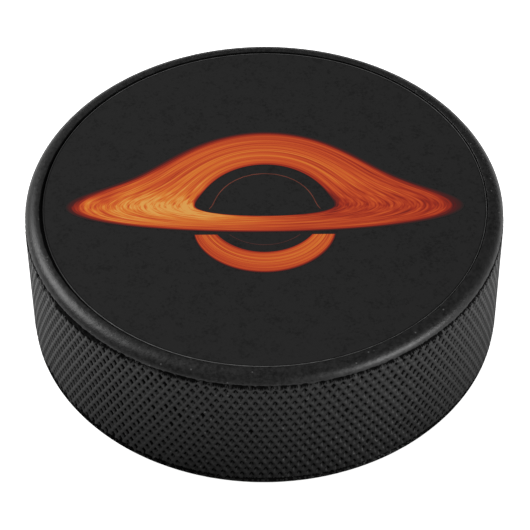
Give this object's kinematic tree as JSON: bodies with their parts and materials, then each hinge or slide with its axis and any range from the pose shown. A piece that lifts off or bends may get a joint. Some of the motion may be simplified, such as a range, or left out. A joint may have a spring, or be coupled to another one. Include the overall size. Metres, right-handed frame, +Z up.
{
  "type": "ice hockey puck",
  "caption": "Black rubber ice hockey puck with a knurled edge band, rounded rims and a round printed label lying in a shallow recess.",
  "frame": {"origin": "centre of the underside, in the plane of the lower rim's flat land", "axes": "+Z up through the printed face, -Y towards the bottom of the printed picture, +X towards its right"},
  "size_m": [0.0762, 0.0762, 0.0254],
  "materials": {
    "rubber": "matte vulcanised rubber with a fine moulded grain, slightly glossier on the rounded rims",
    "label_adhesive": "clear acrylic adhesive, seen only as an edge",
    "label_film": "white vinyl film, seen only as a hairline at its cut edge",
    "black_ink": "matte printed black with a faint grain",
    "glow_ink": "matte printed orange and red, streaked along the rings of the disc"
  },
  "bodies": {
    "root": {"puck_body": "rubber", "label_adhesive": "label_adhesive", "label_film": "label_film", "ink_black_ground": "black_ink", "ink_accretion_disc": "glow_ink", "ink_lower_arc": "glow_ink", "ink_upper_hairline": "glow_ink", "ink_lower_hairline": "glow_ink"}
  },
  "joints": []
}
